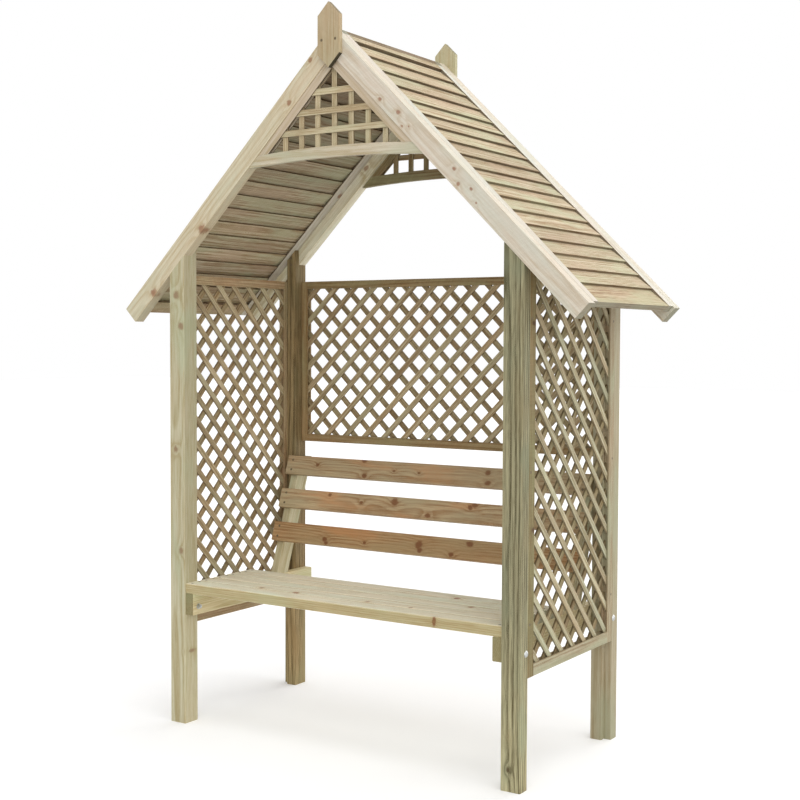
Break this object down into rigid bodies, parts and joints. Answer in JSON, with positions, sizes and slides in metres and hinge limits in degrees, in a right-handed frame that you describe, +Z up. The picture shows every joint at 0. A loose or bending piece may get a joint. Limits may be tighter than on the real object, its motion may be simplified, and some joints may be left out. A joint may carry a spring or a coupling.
{
  "type": "garden arbour seat",
  "caption": "Free-standing timber arbour with square posts, a steep slatted roof with pointed finials, trellis gables, lattice sides and back, and a bench with a leaning slatted back rest.",
  "frame": {"origin": "on the ground, under the middle of the arbour", "axes": "+X to the right as seen from the front, +Y towards the back, +Z up"},
  "size_m": [1.694, 0.686, 2.266],
  "materials": {
    "frame_timber": "planed pressure-treated softwood, pale with a faint green cast",
    "roof_timber": "rough-sawn pressure-treated softwood, tan",
    "panel_timber": "planed pressure-treated softwood",
    "trellis_timber": "thin sawn pressure-treated laths",
    "seat_timber": "planed pressure-treated softwood with eased edges",
    "zinc_plated_steel": "zinc-plated steel"
  },
  "bodies": {
    "root": {"back_finial": "frame_timber", "back_gable_battens": "panel_timber", "back_gable_collar": "panel_timber", "back_gable_laths": "trellis_timber", "back_left_post": "frame_timber", "back_left_rafter": "frame_timber", "back_left_roof_rail": "roof_timber", "back_panel_bottom_rail": "panel_timber", "back_panel_front_laths": "trellis_timber", "back_panel_left_stile": "panel_timber", "back_panel_rear_laths": "trellis_timber", "back_panel_right_stile": "panel_timber", "back_panel_top_rail": "panel_timber", "back_right_post": "frame_timber", "back_right_rafter": "frame_timber", "back_right_roof_rail": "roof_timber", "bolt_nuts_and_washers": "zinc_plated_steel", "coach_bolts": "zinc_plated_steel", "front_finial": "frame_timber", "front_gable_battens": "panel_timber", "front_gable_collar": "panel_timber", "front_gable_laths": "trellis_timber", "front_left_post": "frame_timber", "front_left_rafter": "frame_timber", "front_left_roof_rail": "roof_timber", "front_right_post": "frame_timber", "front_right_rafter": "frame_timber", "front_right_roof_rail": "roof_timber", "left_back_support": "frame_timber", "left_eave_rail": "roof_timber", "left_panel_back_stile": "panel_timber", "left_panel_bottom_rail": "panel_timber", "left_panel_front_stile": "panel_timber", "left_panel_inner_laths": "trellis_timber", "left_panel_outer_laths": "trellis_timber", "left_panel_top_rail": "panel_timber", "left_ridge_rail": "roof_timber", "left_roof_boards": "roof_timber", "left_seat_bearer": "frame_timber", "lower_back_slat": "seat_timber", "middle_back_slat": "seat_timber", "right_back_support": "frame_timber", "right_eave_rail": "roof_timber", "right_panel_back_stile": "panel_timber", "right_panel_bottom_rail": "panel_timber", "right_panel_front_stile": "panel_timber", "right_panel_inner_laths": "trellis_timber", "right_panel_outer_laths": "trellis_timber", "right_panel_top_rail": "panel_timber", "right_ridge_rail": "roof_timber", "right_roof_boards": "roof_timber", "right_seat_bearer": "frame_timber", "seat_board_1": "seat_timber", "seat_board_2": "seat_timber", "seat_board_3": "seat_timber", "seat_board_4": "seat_timber", "seat_board_5": "seat_timber", "upper_back_slat": "seat_timber", "wood_screws": "zinc_plated_steel"}
  },
  "joints": []
}
